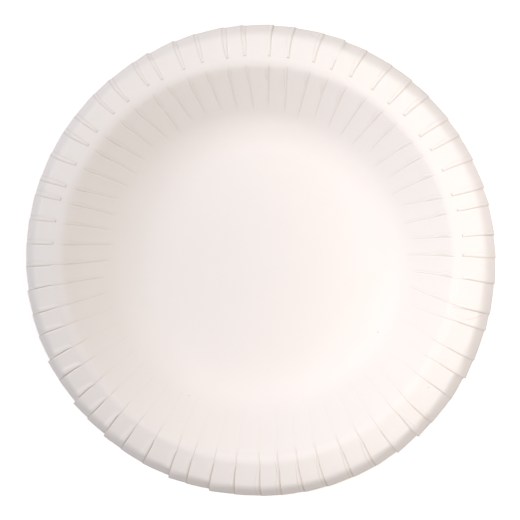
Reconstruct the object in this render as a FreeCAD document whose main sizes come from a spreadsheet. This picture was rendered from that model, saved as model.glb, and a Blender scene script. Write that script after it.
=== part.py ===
import FreeCAD, Part
import math
import os
import Sketcher

# Round plate pressed from one scored disc of coated board. It rests on its flat
# base, the origin is the middle of that base, and +Z points up out of the hollow.
# Millimetres and degrees throughout.
#
# The disc is scored along radial lines. In the press the wall and the rim shrink
# and the spare board gathers at the scores, so the plate is a ring of straight
# panels that meet in pleats: a leaf-shaped crease that widens up the wall, and beyond
# the bend a flat raised band of folded board across the rim and down the lip. The
# source makes one panel with half of the pleat on each side of it, and turns it
# round the axis.

SIZES = {
    "plate_radius": 115.0,     # axis to the middle of the trimmed edge of the lip
    "plate_height": 24.0,      # table to the top of the rim
    "board": 0.45,             # thickness of the pressed board
    "base_radius": 57.0,       # flat part that stands on the table
    "foot_radius": 30.0,       # long curve from the base into the wall, underside
    "wall_angle": 41.0,        # wall above the horizontal
    "bend_radius": 5.0,        # wall into rim, underside
    "rim_slope": 4.0,          # rim falls outward by this angle
    "shoulder_radius": 3.5,    # rim into lip, underside
    "lip_angle": 66.0,         # lip below the horizontal
    "lip_drop": 6.0,           # top of the rim down to the middle of the edge
    "pleat_count": 60,         # scores in the disc, and so panels and pleats
    "band_width": 2.1,         # flat band of folded board on the rim
    "band_rise": 0.2,          # band above the board
    "band_gap": 1.8,           # centre of the bend out to where the bands open
    "crease_width": 1.8,       # crease at its widest, near the top of the wall
    "crease_taper": 4.0,       # its widest place down from its upper point
    "crease_rise": 0.12,       # crease above the board
    "crease_gap": 0.4,         # crease short of the foot and the bend
}

doc = FreeCAD.newDocument("paper_plate")
sizes = doc.addObject("Spreadsheet::Sheet", "sizes")
for row, (name, value) in enumerate(SIZES.items(), start=1):
    sizes.set(f"A{row}", name)
    sizes.set(f"B{row}", str(value))
    sizes.setAlias(f"B{row}", name)
doc.recompute()

# Places that follow from the sizes, as expressions on the sheet. The panel's middle
# lies along +X, and half_turn is the angle from there to the score at its side.
HALF_TURN = "180 deg / sizes.pleat_count"
WALL = "sizes.wall_angle * 1 deg"
BEND_HEIGHT = "(sizes.plate_height - sizes.board - sizes.bend_radius)"
BEND_X = (
    "(sizes.base_radius + (sizes.foot_radius + sizes.bend_radius"
    f" + ({BEND_HEIGHT} - sizes.foot_radius) * cos({WALL})) / sin({WALL}))"
)
WALL_START = f"(sizes.base_radius + sizes.foot_radius * sin({WALL}) + sizes.crease_gap)"
WALL_END = f"({BEND_X} - (sizes.bend_radius + sizes.board) * sin({WALL}) - sizes.crease_gap)"
BAND_START = f"({BEND_X} + sizes.band_gap)"
REACH = "1.1 * sizes.plate_radius"


def amount(expression):
    """What an expression on the sheet comes to, with an angle in radians."""
    value = sizes.evalExpression(expression)
    if not hasattr(value, "Unit"):
        return float(value)
    return math.radians(value.Value) if value.Unit.Type == "Angle" else float(value.Value)


WALL_TURN = -amount(WALL)
RIM_TURN = amount("sizes.rim_slope * 1 deg")
LIP_TURN = amount("sizes.lip_angle * 1 deg")


def up(turn):
    """Unit normal on the upper side of a line that falls outward by the angle."""
    return FreeCAD.Vector(math.sin(turn), math.cos(turn), 0)


def key_points():
    """Centres of the foot, bend and shoulder curves, and the middle of the edge."""
    foot = FreeCAD.Vector(sizes.base_radius, sizes.foot_radius, 0)
    bend = FreeCAD.Vector(amount(BEND_X), amount(BEND_HEIGHT), 0)
    edge = FreeCAD.Vector(sizes.plate_radius, sizes.plate_height - sizes.lip_drop, 0)
    # The shoulder's centre is where two lines cross: one lies below the rim and
    # the other inside the lip, each by the shoulder radius.
    rim_reach = up(RIM_TURN).dot(bend) + sizes.bend_radius - sizes.shoulder_radius
    lip_reach = up(LIP_TURN).dot(edge) - sizes.board / 2 - sizes.shoulder_radius
    turn = math.sin(LIP_TURN - RIM_TURN)
    shoulder = FreeCAD.Vector(
        (lip_reach * math.cos(RIM_TURN) - rim_reach * math.cos(LIP_TURN)) / turn,
        (rim_reach * math.sin(LIP_TURN) - lip_reach * math.sin(RIM_TURN)) / turn,
        0,
    )
    return foot, bend, shoulder, edge


def new_body(name, sketch_name, role):
    """A body with one sketch on one of its own origin planes."""
    body = doc.addObject("PartDesign::Body", name)
    plane = next(f for f in body.Origin.OriginFeatures if f.Role == role)
    sketch = body.newObject("Sketcher::SketchObject", sketch_name)
    sketch.AttachmentSupport = (plane, [""])
    sketch.MapMode = "FlatFace"
    return body, sketch


def drive(sketch, expression, kind, *places):
    """Add a dimension and bind its value to the sheet."""
    index = sketch.addConstraint(Sketcher.Constraint(kind, *places, amount(expression)))
    sketch.setExpression(f"Constraints[{index}]", expression)


def tie(sketch, kind, *places):
    """Add a constraint that has no value."""
    sketch.addConstraint(Sketcher.Constraint(kind, *places))


def close_loop(sketch, near, far):
    """A line between two ends that are given as geometry and point numbers."""
    line = sketch.addGeometry(Part.LineSegment(sketch.getPoint(*near), sketch.getPoint(*far)), False)
    tie(sketch, "Coincident", line, 1, *near)
    tie(sketch, "Coincident", line, 2, *far)
    return line


def section_face(sketch, lift):
    """Seven tangent pieces of one face: base, foot, wall, bend, rim, shoulder and lip.

    lift is the height of the face above the board's underside. Each curve keeps its
    centre for every lift, so faces are parallel all along.
    """
    foot, bend, shoulder, edge = key_points()
    high = amount(lift)
    nodes = [
        FreeCAD.Vector(0, high, 0),
        FreeCAD.Vector(foot.x, high, 0),
        foot - up(WALL_TURN) * (sizes.foot_radius - high),
        bend + up(WALL_TURN) * (sizes.bend_radius + high),
        bend + up(RIM_TURN) * (sizes.bend_radius + high),
        shoulder + up(RIM_TURN) * (sizes.shoulder_radius + high),
        shoulder + up(LIP_TURN) * (sizes.shoulder_radius + high),
        edge + up(LIP_TURN) * (high - sizes.board / 2),
    ]
    lines = [
        sketch.addGeometry(Part.LineSegment(nodes[place], nodes[place + 1]), False)
        for place in (0, 2, 4, 6)
    ]
    # A sketch's arcs run anticlockwise, so the last two run back from rim to wall
    # and from lip to rim.
    arcs = []
    for centre, start, end in (
        (foot, nodes[1], nodes[2]), (bend, nodes[4], nodes[3]), (shoulder, nodes[6], nodes[5])
    ):
        circle = Part.Circle(centre, FreeCAD.Vector(0, 0, 1), centre.distanceToPoint(start))
        arc = Part.ArcOfCircle(circle, circle.parameter(start), circle.parameter(end))
        arcs.append(sketch.addGeometry(arc, False))
    for place, (arc, near, far) in enumerate(zip(arcs, (1, 2, 2), (2, 1, 1))):
        tie(sketch, "Tangent", lines[place], 2, arc, near)
        tie(sketch, "Tangent", arc, far, lines[place + 1], 1)
    tie(sketch, "Horizontal", lines[0])
    tie(sketch, "PointOnObject", lines[0], 1, -2)
    drive(sketch, f"sizes.foot_radius - ({lift})", "Radius", arcs[0])
    drive(sketch, f"sizes.bend_radius + {lift}", "Radius", arcs[1])
    drive(sketch, f"sizes.shoulder_radius + {lift}", "Radius", arcs[2])
    return lines, arcs


def section_strip(name, low, high):
    """A straight length of the plate's section between two lifts."""
    body, sketch = new_body(f"{name}_strip", f"{name}_section", "XZ_Plane")
    under, under_arcs = section_face(sketch, low)
    over, over_arcs = section_face(sketch, high)
    middle = sketch.addGeometry(Part.Point(key_points()[3]), True)
    close_loop(sketch, (under[0], 1), (over[0], 1))
    edge_line = close_loop(sketch, (under[3], 2), (over[3], 2))
    tie(sketch, "Perpendicular", edge_line, under[3])
    tie(sketch, "PointOnObject", middle, 1, edge_line)
    for lower, upper in zip(under_arcs, over_arcs):
        tie(sketch, "Coincident", upper, 3, lower, 3)
    tie(sketch, "Parallel", over[3], under[3])
    foot, bend = under_arcs[:2]
    drive(sketch, "sizes.base_radius", "DistanceX", -1, 1, foot, 3)
    drive(sketch, "sizes.foot_radius", "DistanceY", -1, 1, foot, 3)
    drive(sketch, BEND_HEIGHT, "DistanceY", -1, 1, bend, 3)
    drive(sketch, WALL, "Angle", under[1])
    drive(sketch, "-sizes.rim_slope * 1 deg", "Angle", under[2])
    drive(sketch, "-sizes.lip_angle * 1 deg", "Angle", under[3])
    drive(sketch, "sizes.plate_radius", "DistanceX", -1, 1, middle, 1)
    drive(sketch, "sizes.plate_height - sizes.lip_drop", "DistanceY", -1, 1, middle, 1)
    drive(sketch, f"{high} - sizes.board / 2", "Distance", middle, 1, over[3])
    strip = body.newObject("PartDesign::Pad", f"{name}_length")
    strip.Profile = sketch
    strip.Midplane = True
    strip.setExpression("Length", f"3 * sizes.plate_radius * tan({HALF_TURN})")
    return body


def beside_score(along, inside, side):
    """A point in plan beside the score on one side of the panel, as (x, y) expressions.

    along is the point's distance from the axis measured on the score, and inside
    its distance from the score towards the middle of the panel.
    """
    return (
        f"({along}) * cos({HALF_TURN}) + ({inside}) * sin({HALF_TURN})",
        f"{side} * (({along}) * sin({HALF_TURN}) - ({inside}) * cos({HALF_TURN}))",
    )


def plan_prism(name, outlines):
    """Upright prism over outlines in plan, each a list of (x, y) expressions."""
    body, sketch = new_body(f"{name}_prism", f"{name}_plan", "XY_Plane")
    for outline in outlines:
        corners = [FreeCAD.Vector(amount(x), amount(y), 0) for x, y in outline]
        first = sketch.GeometryCount
        count = len(corners)
        for side in range(count):
            sketch.addGeometry(Part.LineSegment(corners[side], corners[(side + 1) % count]), False)
        for side, (x, y) in enumerate(outline):
            tie(sketch, "Coincident", first + side, 2, first + (side + 1) % count, 1)
            if (x, y) == AXIS:
                tie(sketch, "Coincident", first + side, 1, -1, 1)
                continue
            drive(sketch, x, "DistanceX", -1, 1, first + side, 1)
            drive(sketch, y, "DistanceY", -1, 1, first + side, 1)
    prism = body.newObject("PartDesign::Pad", f"{name}_height")
    prism.Profile = sketch
    prism.setExpression("Length", "2 * sizes.plate_height")
    return body


AXIS = ("0", "0")
SIDES = (-1, 1)
PANEL_PLAN = [[AXIS, beside_score(REACH, "0", -1), beside_score(REACH, "0", 1)]]
BAND_PLAN = [
    [
        beside_score(BAND_START, "0", side),
        beside_score(REACH, "0", side),
        beside_score(REACH, "sizes.band_width / 2", side),
        beside_score(BAND_START, "sizes.band_width / 2", side),
    ]
    for side in SIDES
]
CREASE_PLAN = [
    [
        beside_score(WALL_START, "0", side),
        beside_score(f"{WALL_END} - sizes.crease_taper", "sizes.crease_width / 2", side),
        beside_score(WALL_END, "0", side),
    ]
    for side in SIDES
]

# Bands and creases start inside the board, so that they grow out of it.
slices = []
for name, low, high, plan in (
    ("panel", "0", "sizes.board", PANEL_PLAN),
    ("band", "sizes.board / 2", "sizes.board + sizes.band_rise", BAND_PLAN),
    ("crease", "sizes.board / 2", "sizes.board + sizes.crease_rise", CREASE_PLAN),
):
    piece = doc.addObject("Part::Common", name)
    piece.Base = section_strip(name, low, high)
    piece.Tool = plan_prism(name, plan)
    slices.append(piece)
pleated_panel = doc.addObject("Part::MultiFuse", "pleated_panel")
pleated_panel.Shapes = slices
doc.recompute()

plate = doc.addObject("PartDesign::Body", "plate")
plate.BaseFeature = pleated_panel
doc.recompute()
ring = plate.newObject("PartDesign::PolarPattern", "ring_of_panels")
ring.TransformMode = "Whole shape"
ring.Axis = (next(f for f in plate.Origin.OriginFeatures if f.Role == "Z_Axis"), [""])
ring.Angle = 360
ring.setExpression("Occurrences", "sizes.pleat_count")
plate.Tip = ring
doc.recompute()

for item in doc.Objects:
    if "Invalid" in item.State or "Error" in item.State:
        raise RuntimeError(f"{item.Name} failed: {item.State}")
if plate.Shape.isNull() or not plate.Shape.isValid() or len(plate.Shape.Solids) != 1:
    raise RuntimeError("the plate isn't one valid solid")
os.makedirs("parts", exist_ok=True)
plate.Shape.exportStep(f"parts/{plate.Label}.step")
print("plate volume", round(plate.Shape.Volume, 1), "mm3")
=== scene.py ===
"""A round plate pressed from one disc of scored, coated board.

The plate is one closed surface. Its section runs from the middle of the base out to
the trimmed lip, and columns of vertices follow the sixty pleats, so that the folded
bands on the rim and the creases in the wall are real relief. Lengths are in metres,
angles in radians unless a name or comment says otherwise. Angles about the axis run
anticlockwise from the right of the picture.
"""

import math
from collections import namedtuple

import bpy
import numpy as np
from mathutils import Matrix, Vector


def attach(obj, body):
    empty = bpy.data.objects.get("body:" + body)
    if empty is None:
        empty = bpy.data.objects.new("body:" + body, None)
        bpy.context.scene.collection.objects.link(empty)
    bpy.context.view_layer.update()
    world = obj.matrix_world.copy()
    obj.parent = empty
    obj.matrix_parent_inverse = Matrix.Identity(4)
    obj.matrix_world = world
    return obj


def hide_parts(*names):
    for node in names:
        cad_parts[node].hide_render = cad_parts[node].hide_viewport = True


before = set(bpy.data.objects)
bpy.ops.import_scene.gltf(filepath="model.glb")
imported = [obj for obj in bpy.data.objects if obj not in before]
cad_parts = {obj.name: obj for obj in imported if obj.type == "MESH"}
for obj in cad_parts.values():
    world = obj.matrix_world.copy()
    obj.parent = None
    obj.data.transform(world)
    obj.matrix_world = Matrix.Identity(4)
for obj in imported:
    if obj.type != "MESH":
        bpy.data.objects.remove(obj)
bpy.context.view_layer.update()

MM = 0.001

# Section of the board: the solid's values, but a hair lower, with a softer bend, and a
# lip that falls less steeply from a broader shoulder to nearly the same edge.
PLATE_RADIUS = 115.0 * MM
PLATE_HEIGHT = 23.93 * MM
BOARD = 0.45 * MM
BASE_RADIUS = 57.0 * MM
FOOT_RADIUS = 30.0 * MM
WALL_TURN = math.radians(41.0)
BEND_RADIUS = 6.5 * MM
RIM_TURN = math.radians(4.0)
SHOULDER_RADIUS = 7.5 * MM
LIP_TURN = math.radians(44.0)
LIP_DROP = 5.8 * MM
EDGE_ROUND = 0.07 * MM

# Pleats. The scores are even on the blank, and the press shifts each one on the rim
# by a little, given here in tenths of a degree, from the first score right of the
# middle and anticlockwise.
PLEATS = 60
PITCH = 2 * math.pi / PLEATS
FIRST_SCORE = math.radians(1.3)
RIM_SHIFTS = (
    6, -1, 10, -7, 5, 9, -4, 7, 0, -1, 8, 5, -3, 8, 0,
    11, 0, 10, 5, 13, -5, 7, 0, 10, -5, 0, 8, -9, -6, -3,
    -5, -7, -4, -7, -2, -5, 1, -6, -8, -11, -6, 5, -7, -6, -3,
    5, -3, -8, -10, 0, 2, 1, 6, -10, 7, 6, -6, 9, -11, 5,
)
# The side of a band that the shifts were read at: 1 its low side, 0 its middle, -1 its
# high side, each from the pleat of that number on.
READ_SIDES = ((0, 1.0), (15, 0.0), (27, -1.0), (51, 1.0))

# A pleat runs on one straight line over the rim, which points away from RIM_HEADING,
# and on another down the wall to an even circle about LOW_CENTRE. Both are a little
# unsteady: the wall line waves and the rim line bows.
RIM_CIRCLE = 106.0 * MM
RIM_HEADING = (1.4 * MM, 8.3 * MM)
LOW_CIRCLE = 81.5 * MM
LOW_CENTRE = (-0.2 * MM, 2.1 * MM)
WAVE_SIZE = 0.20 * MM
WAVE_STEP = 4.7 * MM
WAVE_FADE = 8.0 * MM
BOW_SIZE = 0.22 * MM
BOW_SPAN = 16.0 * MM
BOW_FADE = 3.0 * MM

# The folded band on the rim, from the tick at its inner end to the lip. It opens to its
# width over the stretch between two distances before the tick.
BAND_START = 99.1 * MM
BAND_HALF = 1.10 * MM
BAND_NARROW = 0.48
BAND_RISE = 0.18 * MM
BAND_OPENS = (0.60 * MM, 0.32 * MM)
BAND_FADE = 0.6 * MM
TICK_REACH = 0.08 * MM
START_SPREAD = 0.6 * MM
START_LENGTH = 2.5 * MM
START_WIDTH = 1.8 * MM

# The crease in the wall: a leaf that closes to a line towards the base, slimmer for the
# pleats that weren't read at their low side. A share of its rise goes on over the bend.
LEAF_TOP = 2.8 * MM
LEAF_GAP = 0.5 * MM
LEAF_HALF = 0.68 * MM
SLIM_LEAF = 0.7
LEAF_LENGTH = 14.0 * MM
LEAF_RISE = 0.12 * MM
LEAF_LEAN = 1.15
LEAF_POINT = 1.5
LINE_HALF = 0.13 * MM
CREASE_FOOT = 75.0 * MM
FOOT_FADE = 4.0 * MM
BEND_SHARE = 0.15

# Flanks of a fold, and the grooves pressed beside its sides and across its inner end.
# The underside has a share of this relief.
FLANK = 0.16 * MM
GROOVE_DEPTH = 0.12 * MM
GROOVE_WIDTH = 0.13 * MM
GROOVE_GAP = 0.20 * MM
END_DEPTH = 1.6 * GROOVE_DEPTH
END_WIDTH = 0.12 * MM
END_GAP = 0.16 * MM
END_OVERHANG = 0.20 * MM
UNDER_SHARE = 0.5

# Sides of the plate where the pleats differ: the direction in degrees, and the cosines
# of the angle from it, cubed for the soft side, at which the difference begins and is
# full.
SOFT_SIDE = (232, 0.15, 0.85)
SOFT_FLANK = 1.2 * MM
SOFT_LIFT = 0.8
SOFT_DEPTH = 0.8
PLAIN_SIDE = (268, -0.08, 0.15)
PLAIN_REACH = 2.2 * MM
BEND_LINE = 0.6
BEND_LOW = 90.0 * MM
BEND_HIGH = 95.0 * MM
FADED_SIDE = (271, 0.0, 0.38)
WALL_FADE = 0.85
PALE_SIDE = (335, 0.80, 0.97)
PALE_SHARE = 0.8
# One pleat at the upper right is pressed over the inner part of the rim only.
SHORT_PLEAT = 11
SHORT_END = 104.0 * MM

# Laps: how far each panel stands over the one before it, on the rim and at the lip.
# Those about CLOSE_PLEAT lie closer. From pleat STEPS_FROM on, the steps of the edge
# were read one by one, and are given here as multiples of LIP_LAP.
RIM_LAP = 0.10 * MM
LIP_LAP = 0.75 * MM
LIP_INSET = 0.36 * MM
LIP_BLEND = 0.5 * MM
CLOSE_LAPS = 0.6
CLOSE_PLEAT = 25
CLOSE_REACH = 6
STEPS_FROM = 33
LIP_STEPS = (
    0.5, 1.8, 0.2, 1.8, 0.9, 1.6, 0.4, 0.4, 1.7, 0.4, 1.5, 0.3,
    0.4, 0.2, 0.5, 0.6, 0.3, 0.3, 1.2, 1.6, 0.5, 0.2, 1.6, 0.6,
)
TRIM_WAVE = 0.15 * MM
TRIM_FROM = 1.0 * MM

rng = np.random.default_rng(60)


def smooth_step(low, high, x):
    """0 below low, 1 above high, and the cubic 3t^2 - 2t^3 between."""
    t = np.clip((x - low) / (high - low), 0.0, 1.0)
    return t * t * (3.0 - 2.0 * t)


def bell(x, width):
    """Gaussian bump, exp of minus the square of x over width."""
    return np.exp(-((x / width) ** 2))


def walk(piece, run):
    """Change of radius and height, and the turn, after a run along one piece of the
    section: on a line the run times the cosine and sine of its turn, on an arc its
    radius times the change of sine and cosine."""
    length, turn_in, turn_out = piece
    if turn_in == turn_out:
        return run * math.cos(turn_in), -run * math.sin(turn_in), np.full_like(run, turn_in)
    now = turn_in + (turn_out - turn_in) * run / length
    radius = length / (turn_out - turn_in)
    out = radius * (np.sin(now) - math.sin(turn_in))
    up = radius * (np.cos(now) - math.cos(turn_in))
    return out, up, now


class Section:
    """Underside of the board cut through the axis: lines joined by tangent arcs.

    place(s) gives radius, height and the angle that the face falls outward by, at a
    distance s along the underside from the axis.
    """

    def __init__(self):
        foot = np.array([BASE_RADIUS, FOOT_RADIUS])
        bend_z = PLATE_HEIGHT - BOARD - BEND_RADIUS
        reach = FOOT_RADIUS + BEND_RADIUS + (bend_z - FOOT_RADIUS) * math.cos(WALL_TURN)
        bend = np.array([BASE_RADIUS + reach / math.sin(WALL_TURN), bend_z])
        edge = np.array([PLATE_RADIUS, PLATE_HEIGHT - LIP_DROP])
        rim_up = np.array([math.sin(RIM_TURN), math.cos(RIM_TURN)])
        lip_up = np.array([math.sin(LIP_TURN), math.cos(LIP_TURN)])
        # The shoulder's centre lies its radius below both the rim and the lip.
        shoulder = np.linalg.solve(
            np.array([rim_up, lip_up]),
            np.array([
                rim_up @ bend + BEND_RADIUS - SHOULDER_RADIUS,
                lip_up @ edge - BOARD / 2 - SHOULDER_RADIUS,
            ]),
        )
        along_rim = (shoulder - bend) @ np.array([math.cos(RIM_TURN), -math.sin(RIM_TURN)])
        along_wall = (bend - foot) @ np.array([math.cos(WALL_TURN), math.sin(WALL_TURN)])
        along_lip = (edge - shoulder) @ np.array([math.cos(LIP_TURN), -math.sin(LIP_TURN)])
        # Each piece is its length and the turn of the face at its start and end.
        self.pieces = [
            (BASE_RADIUS, 0.0, 0.0),
            (FOOT_RADIUS * WALL_TURN, 0.0, -WALL_TURN),
            (along_wall, -WALL_TURN, -WALL_TURN),
            (BEND_RADIUS * (WALL_TURN + RIM_TURN), -WALL_TURN, RIM_TURN),
            (along_rim, RIM_TURN, RIM_TURN),
            (SHOULDER_RADIUS * (LIP_TURN - RIM_TURN), RIM_TURN, LIP_TURN),
            (along_lip, LIP_TURN, LIP_TURN),
        ]
        lengths = [piece[0] for piece in self.pieces]
        self.ends = np.concatenate([[0.0], np.cumsum(lengths)])

    def place(self, s):
        """The piece that each distance falls on, walked from where that piece starts."""
        s = np.asarray(s, dtype=float)
        r = np.zeros_like(s)
        z = np.zeros_like(s)
        turn = np.zeros_like(s)
        start_r = 0.0
        start_z = 0.0
        for piece, start in zip(self.pieces, self.ends):
            here = s - start
            on_piece = (here >= 0) & ((here < piece[0]) | (piece is self.pieces[-1]))
            out, up, now = walk(piece, here[on_piece])
            r[on_piece] = start_r + out
            z[on_piece] = start_z + up
            turn[on_piece] = now
            whole_out, whole_up, _ = walk(piece, np.array([piece[0]]))
            start_r += whole_out[0]
            start_z += whole_up[0]
        return r, z, turn


SECTION = Section()
BASE_END, FOOT_END, WALL_END, BEND_END, RIM_END, SHOULDER_END, LIP_END = SECTION.ends[1:]


def station_of_radius(radius):
    """Distance along the section at which the rim reaches a radius."""
    r_bend = SECTION.place(np.array([BEND_END]))[0][0]
    return BEND_END + (radius - r_bend) / math.cos(RIM_TURN)


TICK = station_of_radius(BAND_START)

# Rows of the grid, as counts over each stretch of the section, and close ones about
# the tick. The plain middle of the plate has fewer columns, inside RING_START.
RING_START = BASE_END + 0.66 * (FOOT_END - BASE_END)
TICK_ROWS = np.array([-0.45, -0.29, -0.16, -0.05, 0.05, 0.16, 0.4]) * MM
PAST_TICK = 1.4 * MM
DISC_ROWS = np.array([0.25, 0.5, 0.75, 1.0])
FOOT_ROWS = np.array([0.25, 0.5, 0.75])

# Columns of the grid for each pleat: beside its low side, across it, beside its high
# side, and then evenly over the panel to the next pleat.
BESIDE = np.array([0.55, 0.30, 0.16]) * MM
INSET = 0.08 * MM
INSET_MOST = 0.4
MIDDLE = 0.3
PANEL_COLUMNS = 10
COLUMNS = PLEATS * (2 * len(BESIDE) + 4 + PANEL_COLUMNS)
INNER_SHARE = 5
FEW_COLUMNS = COLUMNS // INNER_SHARE


def rows_between(low, high, count):
    """Evenly spaced stations from low, without high."""
    return np.linspace(low, high, count, endpoint=False)


def top_rows():
    """Stations of the upper face from the inner ring to the trimmed edge."""
    return np.concatenate([
        rows_between(RING_START, FOOT_END, 4),
        rows_between(FOOT_END, WALL_END, 14),
        rows_between(WALL_END, BEND_END, 8),
        rows_between(BEND_END, TICK + TICK_ROWS[0], 2),
        TICK + TICK_ROWS,
        rows_between(TICK + PAST_TICK, RIM_END, 5),
        rows_between(RIM_END, SHOULDER_END, 9),
        rows_between(SHOULDER_END, LIP_END - 2 * EDGE_ROUND, 3),
        [LIP_END - EDGE_ROUND],
    ])


def under_rows():
    """Stations of the underside from the trimmed edge back to the inner ring."""
    return np.concatenate([
        rows_between(RING_START, FOOT_END, 2),
        rows_between(FOOT_END, WALL_END, 4),
        rows_between(WALL_END, BEND_END, 4),
        rows_between(BEND_END, RIM_END, 4),
        rows_between(RIM_END, SHOULDER_END, 5),
        [SHOULDER_END, LIP_END - EDGE_ROUND],
    ])[::-1]


numbers = np.arange(PLEATS)
even_angles = FIRST_SCORE + PITCH * numbers
rim_angles = even_angles + np.radians(np.array(RIM_SHIFTS) / 10.0)
side_shares = np.zeros(PLEATS)
for first, share in READ_SIDES:
    side_shares[first:] = share


def uneven(size, low, high):
    """One value for each pleat: size times an even random share from low to high."""
    return size * rng.uniform(low, high, PLEATS)


def on_side(side, power=1):
    """How far each pleat belongs to one side of the plate, from 0 to 1: a smooth step
    of the cosine, to a power, of its angle from that side."""
    degrees, begins, full = side
    return smooth_step(begins, full, np.cos(even_angles - math.radians(degrees)) ** power)


band_halves = uneven(BAND_HALF, 0.8, 1.12)
band_rises = uneven(BAND_RISE, 0.75, 1.15)
leaf_halves = uneven(LEAF_HALF, 0.6, 1.25)
leaf_lengths = uneven(LEAF_LENGTH, 0.7, 1.15)
leaf_rises = uneven(LEAF_RISE, 0.6, 1.3)
crease_feet = CREASE_FOOT + uneven(MM, -2.0, 2.5)
wave_phases = uneven(2 * math.pi, 0.0, 1.0)
lip_laps = uneven(LIP_LAP, 0.45, 1.2)
rim_laps = uneven(RIM_LAP, 0.3, 1.3)
trim_waves = uneven(TRIM_WAVE, -1.3, -0.3)
start_shifts = uneven(START_SPREAD, -1.0, 1.0)

leaf_halves *= np.where(side_shares > 0, 1.0, SLIM_LEAF)
lip_laps *= 1.0 - CLOSE_LAPS * (np.abs(numbers - CLOSE_PLEAT) < CLOSE_REACH)
lip_laps[STEPS_FROM : STEPS_FROM + len(LIP_STEPS)] = LIP_LAP * np.array(LIP_STEPS)
band_ends = np.full(PLEATS, 2 * LIP_END)
band_ends[SHORT_PLEAT] = station_of_radius(SHORT_END)

# The folds of the lower left are rolled softly on their low side.
softness = on_side(SOFT_SIDE, power=3)
low_flanks = FLANK + (SOFT_FLANK - FLANK) * softness
band_rises *= 1.0 + SOFT_LIFT * softness
rim_laps *= 1.0 - softness
# Those of the lower half run into the bend without a tick, and hardly mark the wall.
plainness = on_side(PLAIN_SIDE)
start_shifts *= 1.0 - plainness
wall_fades = WALL_FADE * on_side(FADED_SIDE)
# Those of the lower right hardly show on the lip.
pale_ends = PALE_SHARE * on_side(PALE_SIDE)


def heading_of(points, towards):
    """Direction from each point of one list to that of another, kept near the even
    angle of its score."""
    across = towards - points
    heading = np.arctan2(across[:, 1], across[:, 0])
    return even_angles + np.angle(np.exp(1j * (heading - even_angles)))


def ray_angle(points, headings, radius):
    """Angle about the plate's axis where each ray meets a circle: its heading less the
    arcsine of its distance from the axis over the circle's radius."""
    miss = points[:, 0] * np.sin(headings) - points[:, 1] * np.cos(headings)
    return headings - np.arcsin(miss / radius)


def on_circle(radius, angles):
    """Points on a circle about the axis."""
    return radius * np.stack([np.cos(angles), np.sin(angles)], axis=1)


rim_points = on_circle(RIM_CIRCLE, rim_angles)
rim_headings = heading_of(np.array([RIM_HEADING]), rim_points)
tick_points = on_circle(BAND_START, ray_angle(rim_points, rim_headings, BAND_START))
low_points = on_circle(LOW_CIRCLE, even_angles) + np.array(LOW_CENTRE)
low_headings = heading_of(low_points, tick_points)


def pleat_angle(radius):
    """Angle of each pleat's middle at each radius: one straight ray on the rim, with a
    slight bow, and another from its inner end down the wall, with a slight wave. Both
    are sines of the radius."""
    rim = ray_angle(rim_points, rim_headings, np.maximum(radius, BAND_START))
    wall = ray_angle(low_points, low_headings, np.minimum(radius, BAND_START))
    wave = WAVE_SIZE * np.sin(radius / WAVE_STEP + wave_phases)
    wave = wave * (1.0 - smooth_step(BAND_START - WAVE_FADE, BAND_START, radius))
    bow = BOW_SIZE * np.sin((radius - BAND_START) / BOW_SPAN * math.pi + wave_phases)
    bow = bow * smooth_step(BAND_START, BAND_START + BOW_FADE, radius)
    straight = np.where(radius >= BAND_START, rim, wall)
    return straight + (wave + bow) / radius


def half_width(s, number):
    """Half the width of a pleat: on the rim a band that widens evenly to the lip, over
    the bend a line, and on the wall a leaf, a power of a half sine, that closes to a line."""
    share = np.clip((s - TICK) / (RIM_END - TICK), 0.0, 1.0)
    band = band_halves[number] * (BAND_NARROW + (1.0 - BAND_NARROW) * share)
    up = np.clip((s - WALL_END - LEAF_TOP) / leaf_lengths[number] + 1.0, 0.0, 1.0)
    leaf = LINE_HALF + leaf_halves[number] * np.sin(math.pi * up ** LEAF_LEAN) ** LEAF_POINT
    from_tick, to_tick = BAND_OPENS
    return leaf + (band - leaf) * smooth_step(TICK - from_tick, TICK - to_tick, s)


# For each point of the grid: its angle about the axis, its distance past the middle of
# the nearest pleat, that pleat's number, its share of the way over its panel, from 0 at
# one lap line to 1 at the next, and the panel's number.
Grid = namedtuple("Grid", "angle away number across panel")


def pleat_grid(s):
    """Columns of the grid at each station. They keep fixed distances from the sides of
    each pleat, and share the panel between two pleats evenly."""
    radius = SECTION.place(s)[0][:, None]
    half = half_width(s[:, None], numbers[None, :])
    middle = pleat_angle(radius) + side_shares * half / radius
    inset = np.minimum(INSET, INSET_MOST * half)
    near = np.stack(
        [-half - gap for gap in BESIDE]
        + [inset - half, -MIDDLE * half, MIDDLE * half, half - inset]
        + [half + gap for gap in BESIDE[::-1]],
        axis=2,
    )
    near_angle = middle[:, :, None] + near / radius[:, :, None]
    turn = np.where(numbers == PLEATS - 1, 2 * math.pi, 0.0)
    panel_to = np.roll(near_angle[:, :, 0], -1, axis=1) + turn
    panel_from = near_angle[:, :, -1]
    share = np.arange(1, PANEL_COLUMNS + 1) / (PANEL_COLUMNS + 1)
    panel_angle = panel_from[:, :, None] + (panel_to - panel_from)[:, :, None] * share
    angle = np.concatenate([near_angle, panel_angle], axis=2)
    following = (np.roll(middle, -1, axis=1) + turn)[:, :, None]
    this_away = (angle - middle[:, :, None]) * radius[:, :, None]
    next_away = (angle - following) * radius[:, :, None]
    use_next = np.abs(next_away) < np.abs(this_away)
    away = np.where(use_next, next_away, this_away)
    number = (numbers[None, :, None] + use_next) % PLEATS
    lap_line = middle - side_shares * half / radius
    next_line = (np.roll(lap_line, -1, axis=1) + turn)[:, :, None]
    lap_line = lap_line[:, :, None]
    across = (angle - lap_line) / (next_line - lap_line)
    panel = numbers[None, :, None] - (across < 0)
    across = np.where(across < 0, across + 1.0, across)
    shape = (len(s), COLUMNS)
    return Grid(*(part.reshape(shape) for part in (angle, away, number, across, panel)))


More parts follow.
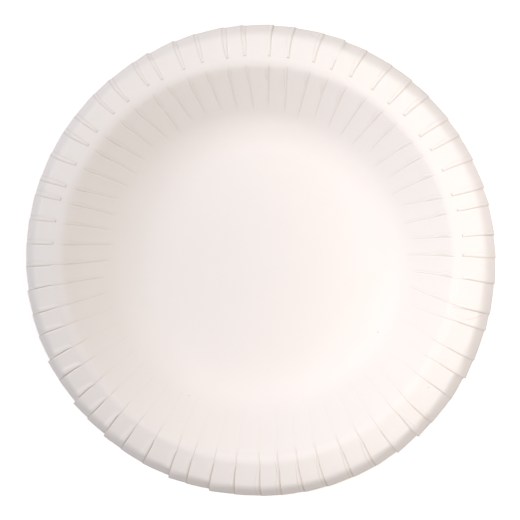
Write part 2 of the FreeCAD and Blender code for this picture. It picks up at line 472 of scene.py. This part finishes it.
def lip_share(s):
    """0 on the rim and 1 past the shoulder, by a smooth step."""
    return smooth_step(RIM_END + LIP_BLEND, SHOULDER_END, s)


def fold_stretches(s, number, tick_reach, leaf_gap):
    """Shares from 0 to 1 of the three stretches of a pleat at each point: its band, its
    line over the bend, and its crease in the wall. Each is a product of smooth steps."""
    radius = SECTION.place(s[:, 0])[0][:, None]
    reach = tick_reach + PLAIN_REACH * plainness[number]
    off_band = band_ends[number]
    foot = crease_feet[number]
    on_band = smooth_step(TICK - reach, TICK + reach, s)
    on_band = on_band * (1.0 - smooth_step(off_band, off_band + BAND_FADE, s))
    on_bend = BEND_LINE * plainness[number] * smooth_step(BEND_LOW, BEND_HIGH, radius)
    on_wall = smooth_step(foot, foot + FOOT_FADE, radius)
    on_wall = on_wall * (1.0 - smooth_step(WALL_END + leaf_gap, WALL_END + LEAF_TOP, s))
    on_wall = on_wall * (1.0 - wall_fades[number])
    return on_band, on_bend, on_wall


def relief(s, grid):
    """Height of the upper face above the smooth section.

    A pleat is a raised strip: the product of two smooth steps, one for each side. Its
    rise is full on the rim past a sharp inner end, nearly nothing over the bend, and
    lower on the wall, where it fades out at the foot. A groove, a bell, runs beside
    each sharp side. Each panel leans, so that its low side lies over the panel before.
    """
    s = s[:, None]
    number = grid.number
    half = half_width(s, number)
    past_low = grid.away + half
    past_high = half - grid.away
    on_lip = lip_share(s)
    on_band, on_bend, on_wall = fold_stretches(s, number, TICK_REACH, LEAF_GAP)
    rise = leaf_rises[number] * np.maximum(on_wall, BEND_SHARE * (s > WALL_END))
    rise = rise * (1.0 - on_band) + band_rises[number] * on_band * (1.0 - on_lip)
    low_flank = low_flanks[number] * on_band + FLANK * (1.0 - on_band)
    strip = smooth_step(-low_flank, INSET, past_low) * smooth_step(-FLANK, INSET, past_high)
    open_sides = np.maximum(on_band, on_bend) * (1.0 - on_lip)
    open_sides = np.maximum(open_sides, on_wall)
    low_groove = bell(past_low + GROOVE_GAP, GROOVE_WIDTH)
    low_groove = low_groove * (1.0 - softness[number] * on_band)
    high_groove = bell(past_high + GROOVE_GAP, GROOVE_WIDTH)
    high_groove = high_groove * (1.0 + SOFT_DEPTH * softness[number] * on_band)
    groove = GROOVE_DEPTH * open_sides * np.maximum(low_groove, high_groove)
    end_groove = bell(s - TICK + END_GAP, END_WIDTH) * (np.abs(grid.away) < half + END_OVERHANG)
    end_groove = end_groove * (1.0 - plainness[number])
    groove = np.maximum(groove, END_DEPTH * end_groove)
    low_lap = lip_laps[grid.panel] * (1.0 - grid.across)
    high_lap = lip_laps[(grid.panel + 1) % PLEATS] * grid.across
    rim_lap = rim_laps[grid.panel] * (0.5 - grid.across) * smooth_step(WALL_END, RIM_END, s)
    lap = rim_lap * (1.0 - on_lip) + 0.5 * (low_lap - high_lap) * on_lip
    return rise * strip - groove + lap - LIP_INSET * on_lip


def shift(s, grid):
    """How far each point slides along the section: at a band's inner end by that
    pleat's own amount, and at the cut edge by a half sine over the panel."""
    s = s[:, None]
    at_tick = bell(s - TICK, START_LENGTH) * bell(grid.away, START_WIDTH)
    at_trim = smooth_step(RIM_END + TRIM_FROM, LIP_END, s) * np.sin(math.pi * grid.across)
    return start_shifts[grid.number] * at_tick + trim_waves[grid.panel] * at_trim


def lay_out(s, lift_over, upper):
    """Points of one face for stations s: the section turned about the axis, with the
    board's thickness and the relief laid off square to it."""
    grid = pleat_grid(s)
    shifted = s[:, None] + shift(s, grid)
    r, z, turn = (part.reshape(shifted.shape) for part in SECTION.place(shifted.ravel()))
    strip_share = 1.0 if upper else UNDER_SHARE
    relief_share = strip_share + (1.0 - strip_share) * lip_share(s)[:, None]
    lift = lift_over + relief(s, grid) * relief_share
    r = r + np.sin(turn) * lift
    z = z + np.cos(turn) * lift
    return np.stack([r * np.cos(grid.angle), r * np.sin(grid.angle), z], axis=-1)


def inner_disc(stations, lift, angles):
    """Rings of the plain middle of the plate, without its centre point."""
    r, z, turn = SECTION.place(stations)
    r = (r + np.sin(turn) * lift)[:, None]
    z = (z + np.cos(turn) * lift)[:, None]
    level = np.broadcast_to(z, (len(stations), len(angles)))
    return np.stack([r * np.cos(angles), r * np.sin(angles), level], axis=-1)


def face_rows(columns, rows, start, outward):
    """Quads of a closed grid of rows by columns whose first vertex is number start."""
    row = np.arange(rows - 1)[:, None]
    column = np.arange(columns)[None, :]
    here = start + row * columns + column
    beside = start + row * columns + (column + 1) % columns
    quads = np.stack([here, here + columns, beside + columns, beside], axis=-1).reshape(-1, 4)
    return quads if outward else quads[:, ::-1]


def joining_row(inner_start, outer_start, outward):
    """Polygons between a ring of few columns and one of INNER_SHARE times as many."""
    column = np.arange(FEW_COLUMNS)[:, None]
    steps = np.arange(INNER_SHARE + 1)[None, :]
    outer = outer_start + (column * INNER_SHARE + steps) % COLUMNS
    inner = inner_start + np.concatenate([(column + 1) % FEW_COLUMNS, column], axis=1)
    polygons = np.concatenate([outer, inner], axis=1)
    return polygons if outward else polygons[:, ::-1]


def centre_fan(ring_start, centre, outward):
    """Triangles from the middle of the plate to its first ring."""
    column = np.arange(FEW_COLUMNS)
    here = ring_start + column
    beside = ring_start + (column + 1) % FEW_COLUMNS
    fan = np.stack([np.full(FEW_COLUMNS, centre), here, beside], axis=1)
    return fan if outward else fan[:, ::-1]


def build_plate():
    """The whole plate: upper face, trimmed edge and underside on one grid of rings,
    and the plain middle of each face on fewer columns."""
    upper_s = top_rows()
    edge_s = np.array([LIP_END, LIP_END])
    edge_lift = np.array([BOARD - EDGE_ROUND, EDGE_ROUND])
    under_s = under_rows()
    ring = np.concatenate([
        lay_out(upper_s, BOARD, True),
        lay_out(edge_s, edge_lift[:, None], False),
        lay_out(under_s, 0.0, False),
    ])
    rows = len(ring)
    upper_angles, under_angles = (
        np.arctan2(row[::INNER_SHARE, 1], row[::INNER_SHARE, 0]) for row in ring[[0, -1]]
    )
    stations = np.concatenate([
        DISC_ROWS * BASE_END,
        BASE_END + (RING_START - BASE_END) * FOOT_ROWS,
    ])
    points = np.concatenate([
        ring.reshape(-1, 3),
        inner_disc(stations, BOARD, upper_angles).reshape(-1, 3),
        inner_disc(stations, 0.0, under_angles).reshape(-1, 3),
        [[0.0, 0.0, BOARD], [0.0, 0.0, 0.0]],
    ])
    upper_disc = rows * COLUMNS
    under_disc = upper_disc + len(stations) * FEW_COLUMNS
    centre = len(points) - 2
    last_ring = (len(stations) - 1) * FEW_COLUMNS
    polygons = [
        face_rows(COLUMNS, rows, 0, True),
        face_rows(FEW_COLUMNS, len(stations), upper_disc, True),
        face_rows(FEW_COLUMNS, len(stations), under_disc, False),
        joining_row(upper_disc + last_ring, 0, True),
        joining_row(under_disc + last_ring, (rows - 1) * COLUMNS, False),
        centre_fan(upper_disc, centre, True),
        centre_fan(under_disc, centre + 1, False),
    ]
    faces = [face for group in polygons for face in group.tolist()]
    mesh = bpy.data.meshes.new("plate_board")
    mesh.from_pydata(points.tolist(), [], faces)
    mesh.validate()
    mesh.shade_smooth()
    mark_board(mesh, upper_s, edge_s, under_s)
    board = bpy.data.objects.new("plate_board", mesh)
    bpy.context.scene.collection.objects.link(board)
    return board


# How strongly a fold is darkened in the finish, as painted shade: on its bold side with
# what the plain pleats add there, on its faint side, in the wall, inside its leaf, and
# across the tick. The bold side is the one turned from the light, painted darker: the
# low one for pleats read at that side, which the first value of a pair is for, and the
# high one for the rest.
MARK_GAP = 0.06 * MM
MARK_WIDTH = 0.16 * MM
MARK_REACH = 0.2 * MM
MARK_LEAF_GAP = 1.0 * MM
BOLD_MARK = 0.80
PLAIN_MARKS = (0.45, 0.70)
FAINT_MARKS = (0.20, 0.45)
WALL_MARK = 0.62
LEAF_MARKS = (0.15, 0.09)
TICK_GAP = 0.14 * MM
TICK_WIDTH = 0.20 * MM


def mark_board(mesh, upper_s, edge_s, under_s):
    """Point attributes for the finish: fold, painted shade along the folds, 1 along the
    sides of a pleat and less inside its leaf, heaviest on the side turned from the light;
    and cut, 1 on the raw edge of the board. The lines are bells."""
    stations = np.concatenate([upper_s, edge_s, under_s])
    grid = pleat_grid(stations)
    s = stations[:, None]
    number = grid.number
    half = half_width(s, number)
    plain = plainness[number]
    read_low = side_shares[number] > 0
    on_band, on_bend, on_wall = fold_stretches(s, number, MARK_REACH, MARK_LEAF_GAP)
    # Painted shade: the bold side, turned from the light, is darkest.
    low_shares = (BOLD_MARK + PLAIN_MARKS[0] * plain, FAINT_MARKS[1])
    high_shares = (FAINT_MARKS[0] * (1.0 - plain), BOLD_MARK + PLAIN_MARKS[1] * plain)
    low_side = bell(grid.away + half + MARK_GAP, MARK_WIDTH) * (1.0 - softness[number])
    low_side = low_side * np.where(read_low, *low_shares)
    high_side = bell(grid.away - half - MARK_GAP, MARK_WIDTH) * np.where(read_low, *high_shares)
    shown = np.maximum(np.maximum(on_band, on_bend), WALL_MARK * on_wall)
    shown = shown * (1.0 - lip_share(s) * pale_ends[number])
    sides = np.maximum(low_side, high_side) * shown
    leaf = np.clip((half - LINE_HALF) / LEAF_HALF, 0.0, 1.0)
    inside = np.where(read_low, *LEAF_MARKS) * leaf * (np.abs(grid.away) < half) * on_wall
    tick = bell(s - TICK + TICK_GAP, TICK_WIDTH) * (np.abs(grid.away) < half + END_OVERHANG)
    marks = np.maximum(np.maximum(sides, inside), tick * (1.0 - plain))
    fold = np.zeros(len(mesh.vertices), dtype=np.float32)
    fold[: marks.size] = marks.ravel()
    cut = np.zeros(len(mesh.vertices), dtype=np.float32)
    cut[len(upper_s) * COLUMNS : (len(upper_s) + len(edge_s)) * COLUMNS] = 1.0
    for name, values in (("fold", fold), ("cut", cut)):
        attribute = mesh.attributes.new(name, "FLOAT", "POINT")
        attribute.data.foreach_set("value", values)


class Wire:
    """An output socket that takes part in sums: each operator adds a Math node."""

    def __init__(self, finish, socket):
        self.finish = finish
        self.socket = socket

    def _sum(self, operation, first, second):
        return self.finish.add("ShaderNodeMath", {"operation": operation}, {0: first, 1: second})

    def __add__(self, other):
        return self._sum("ADD", self, other)

    def __radd__(self, other):
        return self._sum("ADD", other, self)

    def __sub__(self, other):
        return self._sum("SUBTRACT", self, other)

    def __rsub__(self, other):
        return self._sum("SUBTRACT", other, self)

    def __mul__(self, other):
        return self._sum("MULTIPLY", self, other)

    def __rmul__(self, other):
        return self._sum("MULTIPLY", other, self)


class Finish:
    """A material, or the world, and its node tree."""

    def __init__(self, name, world=False):
        self.owner = bpy.data.worlds.new(name) if world else bpy.data.materials.new(name)
        self.owner.use_nodes = True
        self.tree = self.owner.node_tree
        self.tree.nodes.clear()

    def add(self, kind, settings=None, inputs=None, output=0):
        """A new node with its settings, then the values or links of its inputs. What it
        gives back is one of the node's outputs, by name or number."""
        node = self.tree.nodes.new(kind)
        for name, value in (settings or {}).items():
            setattr(node, name, value)
        for name, value in (inputs or {}).items():
            if isinstance(value, Wire):
                self.tree.links.new(value.socket, node.inputs[name])
            else:
                node.inputs[name].default_value = value
        return Wire(self, node.outputs[output]) if node.outputs else None

    def place(self):
        """Where the point lies on the object."""
        return self.add("ShaderNodeTexCoord", output="Object")

    def vector(self, operation, inputs, output=0):
        """One step of vector maths."""
        return self.add("ShaderNodeVectorMath", {"operation": operation}, inputs, output)

    def seen(self):
        """1 for rays from the camera and off gloss, 0 for the rest."""
        direct = self.add("ShaderNodeLightPath", output="Is Camera Ray")
        mirrored = self.add("ShaderNodeLightPath", output="Is Glossy Ray")
        return self.add("ShaderNodeMath", {"operation": "MAXIMUM"}, {0: direct, 1: mirrored})

    def ramp(self, value, low, high):
        """0 at low and 1 at high, with a smooth step between."""
        return self.add("ShaderNodeMapRange", {"interpolation_type": "SMOOTHSTEP"}, {
            "Value": value, "From Min": low, "From Max": high,
        })

    def noise(self, place, scale, detail):
        """Cloudy noise from 0 to 1 about 0.5, scale in lumps for each metre."""
        return self.add("ShaderNodeTexNoise", None, {
            "Vector": place, "Scale": scale, "Detail": detail, "Roughness": 0.55,
        })

    def streak(self, place, start, end, half):
        """1 on the line between two points, given in millimetres, falling to 0 at half a
        width from it: the distance to the foot of the point on the line, kept between
        its ends."""
        start, end = (Vector((*point, 0.0)) * MM for point in (start, end))
        run = end - start
        local = self.vector("SUBTRACT", {0: place, 1: start})
        along = self.vector("DOT_PRODUCT", {0: local, 1: run / run.dot(run)}, "Value")
        kept = self.add("ShaderNodeClamp", None, {"Value": along})
        foot = self.vector("SCALE", {0: run, "Scale": kept})
        away = self.vector("DISTANCE", {0: local, 1: foot}, "Value")
        return self.ramp(away, half, 0.0)

    def streaks(self, place, lines, half):
        """Sum of the streaks along a list of lines."""
        total = self.streak(place, *lines[0], half)
        for line in lines[1:]:
            total = total + self.streak(place, *line, half)
        return total

    def blend(self, amount, first, second):
        """A colour that goes from first to second as amount goes from 0 to 1. A Mix
        node's colours are its inputs 6 and 7 and its output 2."""
        settings = {"data_type": "RGBA", "blend_type": "MIX", "clamp_factor": True}
        return self.add("ShaderNodeMix", settings, {0: amount, 6: first, 7: second}, output=2)


BOARD_WHITE = (0.895, 0.862, 0.838, 1.0)
BOARD_SHADE = (0.868, 0.835, 0.812, 1.0)
# Painted shade along the folds and wrinkles, a cream-brown.
FOLD_SHADE_TONE = (0.60, 0.515, 0.44, 1.0)
CUT_FIBRE = (0.80, 0.745, 0.68, 1.0)
SPECK_BROWN = (0.50, 0.43, 0.36, 1.0)
# Lumps of the coating for each metre, and how finely each is broken up.
CLOUD = (55.0, 4.0)
MOTTLE = (900.0, 3.0)
GRAIN = (3200.0, 2.0)
# Stray marks, in millimetres over the plate: the two ends of each, x then y.
SPECKS = (
    ((83.2, -58.3), (83.5, -58.1)),
    ((-34.5, -68.1), (-34.1, -68.2)),
    ((60.5, -34.9), (61.2, -35.2)),
)
SPECK_HALF = 0.26 * MM
SPECK_SHARE = 0.8
# Wrinkles are bumped in and darkened with the same painted crease shade.
WRINKLES = (
    ((94.4, -20.0), (109.2, -23.1)),
    ((100.9, -26.1), (108.0, -24.0)),
    ((10.5, -96.1), (13.2, -108.0)),
    ((26.8, 109.0), (29.0, 107.6)),
)
WRINKLE_HALF = 0.38 * MM
WRINKLE_SHARE = 0.3
# Shares of the noises and marks in the tone, the painted crease shade, the gloss and the bump.
CLOUD_TONE = 0.6
MOTTLE_TONE = 0.4
CREASE_SHADE_SHARE = 0.55
CREASE_SHADE_MOTTLE = 0.5
SATIN = 0.44
MOTTLE_ROUGH = 0.12
FOLD_ROUGH = 0.2
CUT_ROUGH = 0.3
MOTTLE_BUMP = 0.5
GRAIN_BUMP = 0.3
CLOUD_BUMP = 1.5
WRINKLE_BUMP = 3.0
BUMP_STRENGTH = 0.35
BUMP_HEIGHT = 0.04 * MM
COAT_IOR = 1.46
COAT_SPECULAR = 0.4


def coated_board():
    """Clay-coated paperboard: a satin face with faint mottle and fibre, cream-brown painted
    shade along the folds and wrinkles, rougher and browner on the cut edge. Colour, gloss
    and bump are sums of the noises and of the marks, each with its own share."""
    board = Finish("coated_board")
    place = board.place()
    cloud = board.noise(place, *CLOUD)
    mottle = board.noise(place, *MOTTLE)
    grain = board.noise(place, *GRAIN)
    fold = board.add("ShaderNodeAttribute", {"attribute_name": "fold"}, output="Fac")
    cut = board.add("ShaderNodeAttribute", {"attribute_name": "cut"}, output="Fac")
    clean = board.blend(cloud * CLOUD_TONE + mottle * MOTTLE_TONE, BOARD_WHITE, BOARD_SHADE)
    flat = board.vector("MULTIPLY", {0: place, 1: (1.0, 1.0, 0.0)})
    speck = board.streaks(flat, SPECKS, SPECK_HALF)
    wrinkle = board.streaks(flat, WRINKLES, WRINKLE_HALF)
    specked = board.blend(speck * SPECK_SHARE, clean, SPECK_BROWN)
    # Painted shade: folds and wrinkles darkened towards a cream-brown.
    crease_shade = fold * (CREASE_SHADE_SHARE + CREASE_SHADE_MOTTLE * mottle) + wrinkle * WRINKLE_SHARE
    creased = board.blend(crease_shade, specked, FOLD_SHADE_TONE)
    colour = board.blend(cut, creased, CUT_FIBRE)
    rough = SATIN + mottle * MOTTLE_ROUGH + fold * FOLD_ROUGH + cut * CUT_ROUGH
    lumps = mottle * MOTTLE_BUMP + grain * GRAIN_BUMP + cloud * CLOUD_BUMP
    bump = board.add("ShaderNodeBump", None, {
        "Strength": BUMP_STRENGTH,
        "Distance": BUMP_HEIGHT,
        "Height": lumps - wrinkle * WRINKLE_BUMP,
    })
    surface = board.add("ShaderNodeBsdfPrincipled", None, {
        "Base Color": colour,
        "Roughness": rough,
        "Normal": bump,
        "IOR": COAT_IOR,
        "Specular IOR Level": COAT_SPECULAR,
    })
    board.add("ShaderNodeOutputMaterial", None, {"Surface": surface})
    return board.owner


FLOOR_TONE = (0.90, 0.835, 0.82, 1.0)
NEAR_GLOW = (0.56, 0.56, 0.56, 1.0)
FAR_GLOW = (0.90, 0.90, 0.90, 1.0)
GLOW_FROM = 0.14
GLOW_TO = 0.60
FLOOR_HALF = 3.0
FLOOR_DROP = 0.05 * MM


def floor_finish():
    """Pale matt floor. What the camera and gloss see of it is lifted to white, more so
    far from the lamps, and the plate's shadow stays."""
    floor = Finish("pale_floor")
    matt = floor.add("ShaderNodeBsdfDiffuse", None, {"Color": FLOOR_TONE})
    away = floor.vector("LENGTH", {0: floor.place()}, "Value")
    lift = floor.blend(floor.ramp(away, GLOW_FROM, GLOW_TO), NEAR_GLOW, FAR_GLOW)
    glow = floor.add("ShaderNodeEmission", None, {"Color": lift, "Strength": 1.0})
    lifted = floor.add("ShaderNodeAddShader", None, {0: matt, 1: glow})
    surface = floor.add("ShaderNodeMixShader", None, {0: floor.seen(), 1: matt, 2: lifted})
    floor.add("ShaderNodeOutputMaterial", None, {"Surface": surface})
    return floor.owner


def lay_floor():
    """A flat square under the plate, a hair below its base."""
    sides = ((-1, -1), (1, -1), (1, 1), (-1, 1))
    corners = [(x * FLOOR_HALF, y * FLOOR_HALF, -FLOOR_DROP) for x, y in sides]
    mesh = bpy.data.meshes.new("floor")
    mesh.from_pydata(corners, [], [(0, 1, 2, 3)])
    mesh.materials.append(floor_finish())
    floor = bpy.data.objects.new("floor", mesh)
    bpy.context.scene.collection.objects.link(floor)


AMBIENT = 0.015
AMBIENT_TONE = (1.0, 0.80, 0.76, 1.0)
WHITE = (1.0, 1.0, 1.0, 1.0)
# Each lamp's direction about the axis and tilt off it in degrees, its distance and its
# size, and the tone that a white sheet facing it from the plate would show.
LAMPS = (
    ("high_lamp", 160.0, 50.0, 1.6, 0.9, (0.552, 0.556, 0.586)),
    ("low_box", 15.0, 70.0, 0.24, 0.12, (0.082, 0.076, 0.077)),
    ("box_beyond", 60.0, 37.0, 0.30, 0.25, (0.408, 0.389, 0.371)),
    ("box_before", -42.0, 33.0, 0.30, 0.25, (0.500, 0.464, 0.442)),
)


def light_room():
    """A dim even room that the camera and gloss see as white, a broad lamp high on the
    left, a weak one low on the right and two soft boxes close by."""
    room = Finish("room", world=True)
    dim = room.add("ShaderNodeBackground", None, {"Color": AMBIENT_TONE, "Strength": AMBIENT})
    white = room.add("ShaderNodeBackground", None, {"Color": WHITE, "Strength": 1.0})
    surface = room.add("ShaderNodeMixShader", None, {0: room.seen(), 1: dim, 2: white})
    room.add("ShaderNodeOutputWorld", None, {"Surface": surface})
    bpy.context.scene.world = room.owner
    for lamp in LAMPS:
        area_lamp(*lamp)


def area_lamp(name, azimuth, tilt, distance, size, tone):
    """A square lamp aimed at the plate. Its power is the tone times pi squared times the
    distance squared."""
    light = bpy.data.lights.new(name, "AREA")
    light.size = size
    light.color = [part / max(tone) for part in tone]
    light.energy = max(tone) * math.pi ** 2 * distance ** 2
    lamp = bpy.data.objects.new(name, light)
    lamp.visible_camera = False
    turn = math.radians(azimuth)
    lean = math.radians(tilt)
    away = Vector((math.sin(lean) * math.cos(turn), math.sin(lean) * math.sin(turn), math.cos(lean)))
    lamp.location = away * distance
    lamp.rotation_euler = away.to_track_quat("Z", "Y").to_euler()
    bpy.context.scene.collection.objects.link(lamp)


CAMERA_TILT = math.radians(6.0)
CAMERA_TURN = math.radians(25.0)
CAMERA_DISTANCE = 360.0 * MM
CAMERA_LENS = 51.12
AIM_HEIGHT = 18.0 * MM
AIM_SHIFT = 3.17 * MM
AIM_SIDE = 0.25 * MM


def place_camera():
    """A near camera almost straight above, leaning a few degrees to the upper right."""
    heading = Vector((math.cos(CAMERA_TURN), math.sin(CAMERA_TURN), 0.0))
    centre = Vector((0.0, 0.0, AIM_HEIGHT))
    eye = centre + CAMERA_DISTANCE * (
        heading * math.sin(CAMERA_TILT) + Vector((0.0, 0.0, math.cos(CAMERA_TILT)))
    )
    across = Vector((-heading.y, heading.x, 0.0))
    target = centre + heading * AIM_SHIFT + across * AIM_SIDE
    back = (eye - target).normalized()
    right = Vector((0.0, 1.0, 0.0)).cross(back).normalized()
    up = back.cross(right)
    data = bpy.data.cameras.new("camera")
    data.lens = CAMERA_LENS
    camera = bpy.data.objects.new("camera", data)
    turn = Matrix((right, up, back)).transposed()
    camera.matrix_world = Matrix.Translation(eye) @ turn.to_4x4()
    bpy.context.scene.collection.objects.link(camera)
    bpy.context.scene.camera = camera


def main():
    """The plate in place of its solid, then the floor, the lamps and the camera."""
    board = build_plate()
    board.data.materials.append(coated_board())
    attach(board, "root")
    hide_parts("plate")
    lay_floor()
    light_room()
    place_camera()
    bpy.context.scene.view_settings.view_transform = "Standard"


main()
